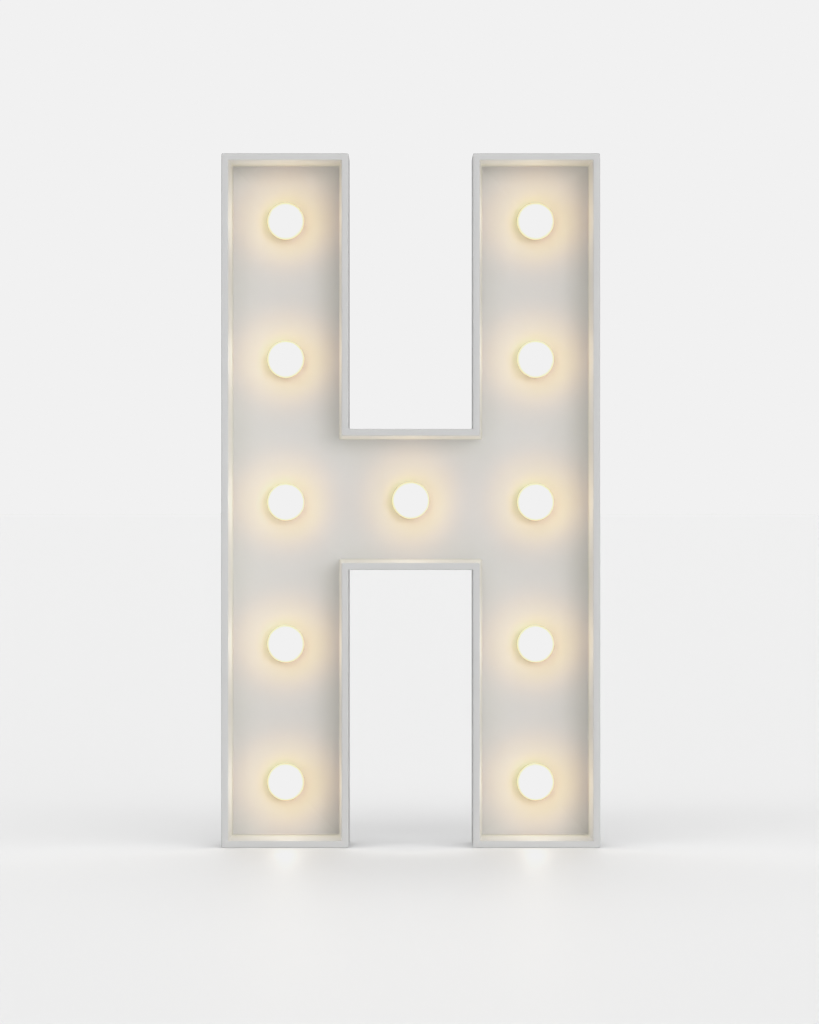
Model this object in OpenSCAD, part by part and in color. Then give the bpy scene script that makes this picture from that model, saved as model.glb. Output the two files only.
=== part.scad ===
// Light-up letter H: a moulded marquee letter that stands on a shelf or hangs on two screws.
// The letter stands in the XZ plane. Its front faces -Y, +Z is up, and the origin is at the
// middle of its foot: x = 0 and y = 0 are its mid planes and z = 0 is the surface it stands on.
// All lengths are in millimetres.

/* [Letter] */
// Height of the letter
letter_h = 220; // [216:1:240]
// Width of the letter
letter_w = 120; // [118:1:130]
// Depth from the front rim to the back face
letter_d = 45; // [45:0.5:50]
// Clear width of the two notches between the stems
notch_w = 39.3; // [36:0.1:40]
// Height of the crossbar
bar_h = 44.7; // [44:0.1:60]
// Height of the middle of the crossbar
bar_z = 110.35; // [109:0.05:112]

/* [Front tray] */
// Thickness of the walls at the front rim
wall = 2.2; // [1.8:0.1:2.4]
// Depth of the tray from the rim to the panel
recess = 27; // [25:0.5:27]
// How far each tray wall leans in between the rim and the panel
draft = 0.95; // [0.4:0.05:1.2]
// Thickness of the panel that carries the globes
panel_t = 1.6; // [1.2:0.1:1.6]

/* [Globes] */
// Outer diameter of a globe
globe_d = 11.8; // [10.5:0.1:12.5]
// Distance from the panel to the middle of a globe
globe_out = 6.8; // [6.5:0.1:10]
// Wall thickness of a globe
globe_t = 0.8; // [0.6:0.05:1]
// Distance of a globe column from the middle of the letter
column_x = 39.85; // [39:0.05:41]
// Height of the middle globe of a column
row_mid = 109.6; // [109:0.1:111]
// Height from the middle globe to the next
row_a = 45.4; // [44:0.1:46]
// Height from the middle globe to the outermost
row_b = 89.45; // [88:0.05:91]

/* [Back] */
// Thickness of the back cover
cover_t = 1.8; // [1.8:0.1:2]
// Gap between the back cover and the shell around it
cover_gap = 0.15; // [0.1:0.05:0.25]
// Width of the rebate in the rear edge of the shell
rebate = 1.1; // [1:0.05:1.2]
// Radius of the round end of a keyhole, which takes the screw head
key_head_r = 4; // [3.8:0.1:4.2]
// Radius of the narrow end of a keyhole, which rests on the screw
key_slot_r = 2.1; // [1.8:0.1:2.3]
// Height of the round end of the keyholes
key_z = 192; // [190:1:193]
// Travel of the switch knob from on to off
switch_travel = 3; // [2:0.5:3]

/* [Hidden] */
$fn = 64;

// Planes along Y, from the front to the back
y_rim = -letter_d / 2;
y_panel = y_rim + recess;
y_web = y_panel + panel_t;
y_back = letter_d / 2;
y_cover = y_back - cover_t;
y_globe = y_panel - globe_out;

// The crossbar
bar_lo = bar_z - bar_h / 2;
bar_hi = bar_z + bar_h / 2;

// Where the globes are: name index 0 to 4 down the left column, 5 in the crossbar, 6 to 10 down the right
row_z = [row_mid + row_b, row_mid + row_a, row_mid - 0.15, row_mid - row_a, row_mid - row_b];
spots = [
    for (z = row_z) [-column_x, z],
    [0, bar_z - 0.35],
    for (z = row_z) [column_x, z]
];
hole_r = 3.55;   // globe holes in the panel
neck_r = 3.5;    // outside of a globe's neck
bore_r = 3.0;    // inside of a globe's neck
board_r = 5.0;   // lamp boards
board_t = 0.8;
seat_r = 5.1;    // inside of the collar that locates a board
pad_x = 2.2;     // solder pads, each side of a board's middle

// Bosses for the screws that hold the back cover
boss_at = [
    [-52, 186], [52, 186], [-28, 140], [28, 140],
    [-28, 80], [28, 80], [-52, 34], [52, 34]
];
boss_r = 3.0;
screw_r = 1.0;
pilot_r = 1.02;

// The battery bay, moulded on the back cover, for two AAA cells side by side
bay_x = 25;             // half its length
bay_z = 11;             // half its height
bay_mid = 110;
bay_wall = 1.2;
bay_floor = y_back - 12.5;
cell_r = 5.2;
cell_len = 43.3;        // without the nub
nub_len = 1.2;
cell_y = bay_floor + 0.05 + cell_r;
cell_up = bay_mid + 5.5;
cell_dn = bay_mid - 5.5;

// The battery door: it hooks under the cover on its left and is screwed on its right
door_t = 1.5;
door_x0 = -27;
door_x1 = 34;
door_z = 12.6;          // half its height
door_gap = 0.25;
door_in = y_back - door_t;
door_seat = door_in - 0.1;  // the ledge behind the door
pad_t = 1.5;            // thickening of the cover around the bay
door_screw_x = 30.5;
tongue_at = [bay_mid - 7, bay_mid + 7];

// The slide switch, screwed to two posts inside the back cover
sw_x = column_x;
sw_z = 86;
sw_ear = 15;            // distance between its two screws
dish_depth = 1.0;
post_h = 1.3;

// Helpers

// A flat shape drawn in (x, z), from y = a to y = b
module slab(a, b) {
    translate([0, b, 0]) rotate([90, 0, 0]) linear_extrude(b - a) children();
}

// A box from its corners
module box(x0, x1, y0, y1, z0, z1) {
    translate([x0, y0, z0]) cube([x1 - x0, y1 - y0, z1 - z0]);
}

// A round bar along Y, from y = a to y = b
module rod(x, z, r, a, b, r2 = -1) {
    translate([x, a, z]) rotate([-90, 0, 0]) cylinder(r1 = r, r2 = r2 < 0 ? r : r2, h = b - a);
}

// The outline of the letter, its edges moved in by i
module outline(i) {
    w = letter_w / 2 - i;
    n = notch_w / 2 + i;
    lo = bar_lo + i;
    hi = bar_hi - i;
    top = letter_h - i;
    polygon([
        [-w, i], [-n, i], [-n, lo], [n, lo], [n, i], [w, i],
        [w, top], [n, top], [n, hi], [-n, hi], [-n, top], [-w, top]
    ]);
}

// A tray cut with leaning walls on all four sides, from in front of the rim to the panel
module tray_cut(x0, x1, z0, z1, lean_x = draft) {
    e = 1;
    sx = lean_x * e / recess;
    sz = draft * e / recess;
    intersection() {
        translate([0, 0, z0 - 3]) linear_extrude(z1 - z0 + 6) polygon([
            [x0 - sx, y_rim - e], [x1 + sx, y_rim - e], [x1 - lean_x, y_panel], [x0 + lean_x, y_panel]
        ]);
        translate([x1 + 3, 0, 0]) rotate([0, -90, 0]) linear_extrude(x1 - x0 + 6) polygon([
            [z0 - sz, y_rim - e], [z1 + sz, y_rim - e], [z1 - draft, y_panel], [z0 + draft, y_panel]
        ]);
    }
}

// A keyhole drawn in (x, z)
module keyhole(x) {
    translate([x, key_z]) circle(key_head_r);
    translate([x - key_slot_r, key_z]) square([2 * key_slot_r, 7]);
    translate([x, key_z + 7]) circle(key_slot_r);
}

// A countersunk screw whose head is flush with y = top, with a cross recess
module csk_screw(x, z, top, len, r, head_r) {
    difference() {
        union() {
            rod(x, z, r, top - len + 1, top - 0.6);
            rod(x, z, 0.3, top - len, top - len + 1, r);
            rod(x, z, r, top - head_r + r - 0.05, top, head_r);
        }
        box(x - head_r * 0.6, x + head_r * 0.6, top - 0.5, top + 1, z - 0.22, z + 0.22);
        box(x - 0.22, x + 0.22, top - 0.5, top + 1, z - head_r * 0.6, z + head_r * 0.6);
    }
}

// Points on a smooth curve through the given ones
function bend(a, b, c, d, t) = 0.5 * (2 * b + (c - a) * t + (2 * a - 5 * b + 4 * c - d) * t * t + (3 * b - a - 3 * c + d) * t * t * t);
function smooth(p, n = 2) = [
    for (i = [0 : len(p) - 2]) for (k = [0 : n - 1])
        bend(p[max(i - 1, 0)], p[i], p[i + 1], p[min(i + 2, len(p) - 1)], k / n),
    p[len(p) - 1]
];
function unit(v) = v / norm(v);

// A round wire along a path; ref is a direction that the path never runs along
module wire(path, r, ref, sides = 6) {
    n = len(path);
    rings = [
        for (i = [0 : n - 1])
            let (t = unit(path[min(i + 1, n - 1)] - path[max(i - 1, 0)]), u = unit(cross(t, ref)), v = cross(t, u))
                for (s = [0 : sides - 1]) path[i] + r * (cos(360 * s / sides) * u + sin(360 * s / sides) * v)
    ];
    polyhedron(rings, concat(
        [[for (s = [0 : sides - 1]) s]],
        [for (i = [0 : n - 2]) for (s = [0 : sides - 1]) [i * sides + s, (i + 1) * sides + s, (i + 1) * sides + (s + 1) % sides]],
        [for (i = [0 : n - 2]) for (s = [0 : sides - 1]) [i * sides + s, (i + 1) * sides + (s + 1) % sides, i * sides + (s + 1) % sides]],
        [[for (s = [sides - 1 : -1 : 0]) (n - 1) * sides + s]]
    ));
}

// Sub-parts

// Walls, panel, board collars and screw bosses, in one moulding
module front_shell() color([0.86, 0.86, 0.85]) {
    n = notch_w / 2 + wall;
    w = letter_w / 2 - wall;
    difference() {
        union() {
            difference() {
                slab(y_rim, y_back) outline(0);
                tray_cut(-w, -n, wall, letter_h - wall);
                tray_cut(n, w, wall, letter_h - wall);
                tray_cut(-n - 8, n + 8, bar_lo + wall, bar_hi - wall, 0);
                slab(y_web, y_back + 1) outline(wall);
                slab(y_cover, y_back + 1) outline(rebate);
            }
            for (p = boss_at) rod(p[0], p[1], boss_r, y_web - 0.4, y_cover);
            for (p = spots) rod(p[0], p[1], seat_r + 0.9, y_web - 0.4, y_web + board_t);
        }
        for (p = boss_at) rod(p[0], p[1], pilot_r, y_cover - 9, y_cover + 1);
        for (p = spots) {
            rod(p[0], p[1], hole_r, y_panel - 1, y_web + 2);
            rod(p[0], p[1], seat_r, y_web, y_web + 2);
        }
    }
}

// Back plate with the battery bay, the hanging pockets and the switch mounting
module back_cover() color([0.84, 0.84, 0.83]) {
    difference() {
        union() {
            slab(y_cover, y_back) outline(rebate + cover_gap);
            box(-30, 37, y_cover - pad_t, y_cover + 0.5, bay_mid - 15.5, bay_mid + 15.5);
            box(-bay_x - bay_wall, bay_x + bay_wall, bay_floor - bay_wall, y_cover + 0.5,
                bay_mid - bay_z - bay_wall, bay_mid + bay_z + bay_wall);
            for (s = [-1, 1]) box(s * column_x - 7, s * column_x + 7, y_cover - 6.7, y_cover + 0.5, key_z - 6.2, key_z + 11.2);
            for (s = [-1, 1]) rod(sw_x, sw_z + s * sw_ear / 2, 1.9, y_cover - post_h, y_cover + 0.5);
            rod(door_screw_x, bay_mid, 2.75, y_cover - 6, y_cover + 0.5);
        }
        // battery bay and the seat of its door
        box(-bay_x, bay_x, bay_floor, y_back + 1, bay_mid - bay_z, bay_mid + bay_z);
        box(door_x0 - door_gap, door_x1 + door_gap, door_seat, y_back + 1, bay_mid - door_z - door_gap, bay_mid + door_z + door_gap);
        for (z = tongue_at) box(-31, -bay_x + 1, y_back - 4.4, y_cover, z - 2.4, z + 2.4);
        for (z = tongue_at) box(door_x0 - door_gap, -bay_x + 1, y_back - 4.4, y_back + 1, z - 2.4, z + 2.4);
        // slots for the solder tabs of the two end contacts
        for (z = [cell_up, cell_dn]) box(bay_x - 1, bay_x + bay_wall + 1, bay_floor + 2, bay_floor + 2.8, z - 1.8, z + 1.8);
        rod(door_screw_x, bay_mid, 1.25, y_back - 6, y_back + 1);
        // hanging pockets
        for (s = [-1, 1]) {
            box(s * column_x - 5.8, s * column_x + 5.8, y_cover - 5.5, y_cover, key_z - 5, key_z + 10);
            slab(y_cover - 0.1, y_back + 1) keyhole(s * column_x);
        }
        // cover screws
        for (p = boss_at) {
            rod(p[0], p[1], screw_r + 0.15, y_cover - 1, y_back + 1);
            rod(p[0], p[1], screw_r + 0.15, y_back - 1.15, y_back + 0.05, 2.35);
        }
        // switch
        box(sw_x - 4.5, sw_x + 4.5, y_back - dish_depth, y_back + 1, sw_z - 7.5, sw_z + 7.5);
        box(sw_x - 1.65, sw_x + 1.65, y_cover - 1, y_back + 1, sw_z - 4, sw_z + 4);
        for (s = [-1, 1]) rod(sw_x, sw_z + s * sw_ear / 2, 0.82, y_cover - post_h - 1, y_cover + 0.3);
    }
}

// Flush door with two hooked tongues on its left edge and a screw hole on its right
module battery_door() color([0.84, 0.84, 0.83]) {
    difference() {
        union() {
            box(door_x0, door_x1, door_in, y_back, bay_mid - door_z, bay_mid + door_z);
            for (z = tongue_at) {
                box(door_x0, door_x0 + 1.1, y_back - 3.2, door_in + 0.2, z - 2, z + 2);
                box(door_x0 - 1.8, door_x0 + 1.1, y_back - 3.2, y_back - 2.05, z - 2, z + 2);
            }
            // rib that keeps the two cells apart
            box(-18, 18, door_in - 0.6, door_in + 0.2, bay_mid - 0.6, bay_mid + 0.6);
        }
        rod(door_screw_x, bay_mid, 1.15, door_in - 1, y_back + 1);
        rod(door_screw_x, bay_mid, 1.15, y_back - 1.0, y_back + 0.05, 2.15);
        // finger grooves
        for (i = [0 : 4]) box(-22 + i * 2.2, -21 + i * 2.2, y_back - 0.4, y_back + 1, bay_mid - 6, bay_mid + 6);
    }
}

module door_screw() color([0.75, 0.75, 0.77]) csk_screw(door_screw_x, bay_mid, y_back - 0.05, 4.5, 1.0, 2.0);

module cover_screws() color([0.75, 0.75, 0.77])
    for (p = boss_at) csk_screw(p[0], p[1], y_back - 0.1, 8, screw_r, 2.1);

// Hollow frosted globe with a neck that is pushed through the panel, and a flange in front of it
module globe(i) color([1, 0.97, 0.9]) {
    x = spots[i][0];
    z = spots[i][1];
    difference() {
        union() {
            translate([x, y_globe, z]) sphere(globe_d / 2);
            rod(x, z, neck_r, y_globe + 3, y_web - 0.05);
            rod(x, z, neck_r + 1.2, y_panel - 0.8, y_panel);
        }
        translate([x, y_globe, z]) sphere(globe_d / 2 - globe_t);
        rod(x, z, bore_r, y_globe + 1, y_web + 1);
    }
}

// Lamp with a domed nose, a collar and two legs
module led(i) color([0.98, 0.93, 0.75]) {
    x = spots[i][0];
    z = spots[i][1];
    translate([x, y_web - 6.1, z]) sphere(2.5);
    rod(x, z, 2.5, y_web - 6.1, y_web - 0.5);
    rod(x, z, 2.9, y_web - 1, y_web);
    for (s = [-1, 1]) box(x + s * 1.27 - 0.25, x + s * 1.27 + 0.25, y_web - 0.1, y_web + board_t, z - 0.25, z + 0.25);
}

// Round board behind the panel, with two solder pads
module board(i) color([0.93, 0.93, 0.9]) {
    x = spots[i][0];
    z = spots[i][1];
    difference() {
        rod(x, z, board_r, y_web, y_web + board_t);
        for (s = [-1, 1]) rod(x + s * 1.27, z, 0.42, y_web - 1, y_web + board_t + 1);
    }
    for (s = [-1, 1]) rod(x + s * pad_x, z, 1.1, y_web + board_t, y_web + board_t + 0.4, 0.8);
}

// Levels of the wiring: on a pad, on the panel, and where one wire crosses another
wire_r = 0.5;
y_pad = y_web + board_t + 0.42 + wire_r;
y_low = y_web + 0.2 + wire_r;
y_over = y_web + 1.1 + 3 * wire_r + 0.3;

// Wire from a pad of one board down to the same pad of the next
module drop(i, s) {
    a = spots[i];
    b = spots[i + 1];
    x = a[0] + s * pad_x;
    out = s * 1.6;
    wire(smooth([
        [x, y_pad, a[1] - 0.3], [x, y_pad, a[1] - 3], [x, y_pad, a[1] - 7], [x + out * 0.6, y_low, a[1] - 11],
        [x + out, y_low, (a[1] + b[1]) / 2],
        [x + out * 0.6, y_low, b[1] + 11], [x, y_pad, b[1] + 7], [x, y_pad, b[1] + 3], [x, y_pad, b[1] + 0.3]
    ]), wire_r, [0, 1, 0]);
}

module red_jumpers() color([0.75, 0.12, 0.1]) {
    for (i = [0 : 3]) drop(i, -1);
    for (i = [6 : 9]) drop(i, -1);
    l = spots[2];
    c = spots[5];
    r = spots[8];
    wire(smooth([
        [l[0] - pad_x + 0.55, y_pad + 0.3, l[1] + 0.2], [l[0] - pad_x + 1.1, y_over, l[1] + 2.2], [l[0] + 1.6, y_over, l[1] + 5.2],
        [l[0] + 6, y_over - 0.4, l[1] + 6.4], [l[0] + 10.5, y_low, l[1] + 7], [l[0] + 18, y_low, l[1] + 7], [c[0] - 14, y_low, c[1] + 6.5],
        [c[0] - 8, y_pad, c[1] + 5], [c[0] - 4.6, y_pad, c[1] + 2.4], [c[0] - pad_x - 0.5, y_pad, c[1] + 0.45]
    ]), wire_r, [0, 1, 0]);
    wire(smooth([
        [c[0] - pad_x + 0.45, y_pad, c[1] + 0.5], [c[0] - 0.4, y_pad, c[1] + 3], [c[0] + 3.4, y_pad, c[1] + 5.4],
        [c[0] + 8, y_pad, c[1] + 6.4], [c[0] + 12, y_low, c[1] + 6.5], [r[0] - 19, y_low, r[1] + 5.5], [r[0] - 12.5, y_low, r[1] + 4],
        [r[0] - 8.5, y_pad, r[1] + 2.5], [r[0] - 5.5, y_pad, r[1] + 1], [r[0] - pad_x - 0.6, y_pad, r[1] + 0.1]
    ]), wire_r, [0, 1, 0]);
}

module black_jumpers() color([0.1, 0.1, 0.1]) {
    for (i = [0 : 3]) drop(i, 1);
    for (i = [6 : 9]) drop(i, 1);
    l = spots[2];
    c = spots[5];
    r = spots[8];
    wire(smooth([
        [l[0] + pad_x + 0.6, y_pad, l[1] - 0.1], [l[0] + 5.5, y_pad, l[1] - 1.2], [l[0] + 8.5, y_pad, l[1] - 2.8],
        [l[0] + 12.5, y_low, l[1] - 4.4], [l[0] + 20, y_low, l[1] - 5.6], [c[0] - 12, y_low, c[1] - 6.5], [c[0] - 8, y_pad, c[1] - 6.4],
        [c[0] - 2.4, y_pad, c[1] - 5.4], [c[0] + 0.9, y_pad, c[1] - 3], [c[0] + pad_x - 0.45, y_pad, c[1] - 0.5]
    ]), wire_r, [0, 1, 0]);
    wire(smooth([
        [c[0] + pad_x + 0.5, y_pad, c[1] - 0.45], [c[0] + 4.6, y_pad, c[1] - 2.4], [c[0] + 8, y_pad, c[1] - 5],
        [c[0] + 14, y_low, c[1] - 6.5], [r[0] - 18, y_low, r[1] - 7], [r[0] - 10, y_low, r[1] - 7],
        [r[0] - 6, y_over - 0.4, r[1] - 6.4], [r[0] - 1.6, y_over, r[1] - 5.2], [r[0] + pad_x - 1.1, y_over, r[1] - 2.2],
        [r[0] + pad_x - 0.55, y_pad + 0.3, r[1] - 0.2]
    ]), wire_r, [0, 1, 0]);
}

// Lead from the positive contact to the middle terminal of the switch
module battery_lead_red() color([0.75, 0.12, 0.1]) wire(smooth([
    [28.9, y_back - 9.3, 115.5], [30.6, y_back - 9.1, 116.4], [32.8, y_back - 9.3, 117], [34.8, y_back - 9.7, 115],
    [35.6, y_back - 10.1, 109], [35.4, y_back - 10.5, 101], [35, y_back - 11.1, 93], [36.4, y_back - 11.6, 88],
    [sw_x - 1.6, y_back - 11.7, sw_z + 0.6], [sw_x - 0.6, y_back - 11.7, sw_z + 0.1]
]), wire_r, [0, 1, 0]);

// Lead from the negative contact to the nearest board
module battery_lead_black() color([0.1, 0.1, 0.1]) wire(smooth([
    [28.9, y_back - 9.3, 104.5], [30.6, y_back - 9.8, 103.4], [32.4, y_back - 11.3, 102.2], [35, y_web + 3.5, 101],
    [38.6, y_web + 3.1, 100.4], [42.5, y_web + 3.1, 101.6], [44.6, y_web + 2.9, 104.4], [44.2, y_web + 2.7, 107.2],
    [column_x + 3.35, y_web + 2.4, 109]
]), wire_r, [0, 1, 0]);

// Lead from an outer terminal of the switch to the resistor
module switch_lead() color([0.75, 0.12, 0.1]) wire(smooth([
    [sw_x + 0.6, y_back - 11.7, sw_z - 3], [sw_x + 2.6, y_back - 11.9, sw_z - 2.4], [45, y_web + 3.9, 85], [47.4, y_web + 3.3, 86.2],
    [49.4, y_web + 2.5, 85], [50, y_web + 1.6, 82.1]
]), wire_r, [0, 1, 0]);

// Axial resistor lying on the panel, its far lead bent to the board below
module series_resistor() color([0.82, 0.72, 0.52]) {
    x = 50;
    y = y_web + 1.25;
    translate([x, y, 73]) cylinder(r = 1.0, h = 5);
    translate([x, y, 72.2]) cylinder(r = 1.2, h = 1.6);
    translate([x, y, 77.2]) cylinder(r = 1.2, h = 1.6);
    translate([x, y, 78.7]) cylinder(r = 0.25, h = 2.6);
    wire(smooth([
        [x, y, 72.3], [x, y, 70.5], [x - 0.4, y + 0.25, 68.6], [x - 2, y + 0.65, 67.2], [45, y_web + 2.5, 66.8],
        [column_x + 1.15, y_web + 3.5, 66.9], [column_x - 1.25, y_web + 3.3, 66.2], [column_x - 1.95, y_web + 2.6, 65.2]
    ], 3), 0.25, [0, 1, 0]);
}

// AAA cell lying along X: s = 1 has its nub on the right
module cell(z, s) color([0.35, 0.5, 0.42]) {
    tip = s * (bay_x - 0.7);
    body = tip - s * nub_len;
    translate([min(body, body - s * cell_len), cell_y, z]) rotate([0, 90, 0]) cylinder(r = cell_r, h = cell_len);
    translate([min(tip, body - s * 0.2), cell_y, z]) rotate([0, 90, 0]) cylinder(r = 1.9, h = nub_len + 0.2);
}
module cell_upper() cell(cell_up, 1);
module cell_lower() cell(cell_dn, -1);

// Flat spring-steel contacts at the ends of the bay
module contact_plus() color([0.8, 0.8, 0.8]) {
    box(bay_x - 0.5, bay_x - 0.1, bay_floor + 1, bay_floor + 9.5, cell_up - 4.5, cell_up + 4.8);
    box(bay_x - 0.3, bay_x + 4.4, bay_floor + 2.2, bay_floor + 2.6, cell_up - 1.5, cell_up + 1.5);
}
module contact_minus() color([0.8, 0.8, 0.8]) {
    box(bay_x - 0.5, bay_x - 0.1, bay_floor + 1, bay_floor + 9.5, cell_dn - 4.8, cell_dn + 4.5);
    box(bay_x - 0.3, bay_x + 4.4, bay_floor + 2.2, bay_floor + 2.6, cell_dn - 1.5, cell_dn + 1.5);
}
module contact_bridge() color([0.8, 0.8, 0.8])
    box(-bay_x + 0.1, -bay_x + 0.5, bay_floor + 1, bay_floor + 8, cell_dn - 4.8, cell_up + 4.8);

// Cone-shaped coil springs behind the flat ends of the cells
function coil(x0, x1, z, s) = [
    for (k = [0 : 44]) let (t = k / 44, a = 360 * 2.75 * t, q = 3.6 - 1.6 * t)
        [x0 + (x1 - x0) * t, cell_y + q * cos(a), z + s * q * sin(a)]
];
module contact_springs() color([0.8, 0.8, 0.8]) {
    wire(coil(-bay_x + 0.85, -bay_x + 4.4, cell_up, 1), 0.3, [1, 0, 0], 6);
    wire(coil(bay_x - 0.85, bay_x - 4.4, cell_dn, 1), 0.3, [1, 0, 0], 6);
}

// Slide switch: can and ears, three terminals, knob, two screws
sw_face = y_cover - post_h;      // front of the ears
module switch_body() color([0.7, 0.7, 0.7]) difference() {
    union() {
        box(sw_x - 2.6, sw_x + 2.6, sw_face - 4.6, sw_face, sw_z - 4.7, sw_z + 4.7);
        box(sw_x - 2.6, sw_x + 2.6, sw_face - 0.6, sw_face, sw_z - 9.9, sw_z + 9.9);
    }
    for (s = [-1, 1]) rod(sw_x, sw_z + s * sw_ear / 2, 1.05, sw_face - 2, sw_face + 1);
    // slot that the knob's stem slides in
    box(sw_x - 1.2, sw_x + 1.2, sw_face - 2.4, sw_face + 1, sw_z - 3.7, sw_z + 3.7);
}
module switch_terminals() color([0.85, 0.8, 0.6])
    for (k = [-1, 0, 1]) box(sw_x - 0.75, sw_x + 0.75, sw_face - 8, sw_face - 4.6, sw_z + k * 3 - 0.25, sw_z + k * 3 + 0.25);
module switch_knob() color([0.15, 0.15, 0.15]) {
    z = sw_z + switch_travel / 2;
    difference() {
        box(sw_x - 1.5, sw_x + 1.5, y_cover - 0.3, y_back - 0.3, z - 2.3, z + 2.3);
        for (k = [-1, 0, 1]) box(sw_x - 3, sw_x + 3, y_back - 0.65, y_back + 1, z + k * 1.3 - 0.3, z + k * 1.3 + 0.3);
    }
    box(sw_x - 2.3, sw_x + 2.3, y_cover - 1.1, y_cover - 0.2, z - 3.8, z + 3.8);
    box(sw_x - 1.1, sw_x + 1.1, sw_face - 2.2, y_cover - 1, z - 2.1, z + 2.1);
}
module switch_screws() color([0.75, 0.75, 0.77])
    for (s = [-1, 1]) {
        rod(sw_x, sw_z + s * sw_ear / 2, 0.8, sw_face - 0.7, y_cover + 0.2);
        difference() {
            rod(sw_x, sw_z + s * sw_ear / 2, 1.6, sw_face - 1.7, sw_face - 0.65);
            box(sw_x - 1, sw_x + 1, sw_face - 2, sw_face - 1.2, sw_z + s * sw_ear / 2 - 0.2, sw_z + s * sw_ear / 2 + 0.2);
            box(sw_x - 0.2, sw_x + 0.2, sw_face - 2, sw_face - 1.2, sw_z + s * sw_ear / 2 - 1, sw_z + s * sw_ear / 2 + 1);
        }
    }

front_shell();
back_cover();
battery_door();
door_screw();
cover_screws();
globe(0);  // globe_l1
globe(1);  // globe_l2
globe(2);  // globe_l3
globe(3);  // globe_l4
globe(4);  // globe_l5
globe(5);  // globe_c
globe(6);  // globe_r1
globe(7);  // globe_r2
globe(8);  // globe_r3
globe(9);  // globe_r4
globe(10);  // globe_r5
led(0);  // led_l1
led(1);  // led_l2
led(2);  // led_l3
led(3);  // led_l4
led(4);  // led_l5
led(5);  // led_c
led(6);  // led_r1
led(7);  // led_r2
led(8);  // led_r3
led(9);  // led_r4
led(10);  // led_r5
board(0);  // board_l1
board(1);  // board_l2
board(2);  // board_l3
board(3);  // board_l4
board(4);  // board_l5
board(5);  // board_c
board(6);  // board_r1
board(7);  // board_r2
board(8);  // board_r3
board(9);  // board_r4
board(10);  // board_r5
red_jumpers();
black_jumpers();
battery_lead_red();
battery_lead_black();
switch_lead();
series_resistor();
cell_upper();
cell_lower();
contact_plus();
contact_minus();
contact_bridge();
contact_springs();
switch_body();
switch_terminals();
switch_knob();
switch_screws();
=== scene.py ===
import math

import bmesh
import bpy
from mathutils import Matrix, Vector, geometry


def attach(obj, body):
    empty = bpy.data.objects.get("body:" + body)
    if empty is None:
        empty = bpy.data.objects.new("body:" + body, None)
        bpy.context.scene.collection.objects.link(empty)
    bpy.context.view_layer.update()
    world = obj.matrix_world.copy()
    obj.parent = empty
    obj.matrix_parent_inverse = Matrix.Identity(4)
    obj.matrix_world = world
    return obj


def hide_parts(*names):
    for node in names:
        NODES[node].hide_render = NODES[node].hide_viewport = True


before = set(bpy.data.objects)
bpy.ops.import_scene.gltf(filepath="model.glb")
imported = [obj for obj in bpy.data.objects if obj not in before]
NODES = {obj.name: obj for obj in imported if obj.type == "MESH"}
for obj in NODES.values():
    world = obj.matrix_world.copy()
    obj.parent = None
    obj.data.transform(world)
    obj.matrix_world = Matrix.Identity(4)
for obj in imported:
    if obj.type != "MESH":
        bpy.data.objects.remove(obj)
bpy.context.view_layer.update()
MM = 0.001

# ---------------------------------------------------------------------------
# Sizes, in millimetres, in the letter's own frame: front on -Y, up is +Z
# ---------------------------------------------------------------------------
W, H = 120.0, 220.0
NOTCH = 39.3
BAR_LO, BAR_HI = 88.0, 132.7
WALL, DRAFT = 2.2, 0.95
Y_RIM, Y_PANEL, Y_WEB, Y_COVER, Y_BACK = -22.5, 4.5, 6.1, 20.7, 22.5
Y_GLOBE, GLOBE_R = -2.3, 5.9
REBATE = 1.1
COL = 39.85
ROWS = [199.05, 155.0, 109.45, 64.2, 20.15]
SPOTS = [("l%d" % (i + 1), -COL, z) for i, z in enumerate(ROWS)]
SPOTS += [("c", 0.0, 110.0)]
SPOTS += [("r%d" % (i + 1), COL, z) for i, z in enumerate(ROWS)]
BOSSES = [(s * x, z) for x, z in ((52, 186), (28, 140), (28, 80), (52, 34)) for s in (-1, 1)]


# ---------------------------------------------------------------------------
# Mesh helpers
# ---------------------------------------------------------------------------
def finish_mesh(bm, name, body, replaces=(), smooth=True, sharp=None, scale=MM):
    """bm, drawn in millimetres, becomes a piece that rides on a body."""
    bmesh.ops.remove_doubles(bm, verts=bm.verts, dist=1e-5)
    bmesh.ops.recalc_face_normals(bm, faces=bm.faces)
    bmesh.ops.scale(bm, vec=(scale, scale, scale), verts=bm.verts)
    me = bpy.data.meshes.new(name)
    bm.to_mesh(me)
    bm.free()
    ob = bpy.data.objects.new(name, me)
    bpy.context.scene.collection.objects.link(ob)
    for p in me.polygons:
        p.use_smooth = smooth
    if smooth and sharp is not None:
        me.set_sharp_from_angle(angle=math.radians(sharp))
    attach(ob, body)
    if replaces:
        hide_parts(*replaces)
    return ob


def h_ring(inset, convex, concave, n=5):
    """The outline of the letter in (x, z), moved in by inset, each corner an arc of n + 1 points."""
    w, c = W / 2 - inset, NOTCH / 2 + inset
    lo, hi, top = BAR_LO + inset, BAR_HI - inset, H - inset
    p = [
        (-w, inset, 1), (-c, inset, 1), (-c, lo, 0), (c, lo, 0), (c, inset, 1), (w, inset, 1),
        (w, top, 1), (c, top, 1), (c, hi, 0), (-c, hi, 0), (-c, top, 1), (-w, top, 1),
    ]
    out = []
    k = len(p)
    for i in range(k):
        a, b, d = Vector(p[i - 1][:2]), Vector(p[i][:2]), Vector(p[(i + 1) % k][:2])
        r = convex if p[i][2] else concave
        u, v = (a - b).normalized(), (d - b).normalized()
        centre = b + (u + v) * r
        s, e = b + u * r - centre, b + v * r - centre
        for j in range(n + 1):
            t = math.pi / 2 * j / n
            out.append(centre + s * math.cos(t) + e * math.sin(t))
    return out


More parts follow.
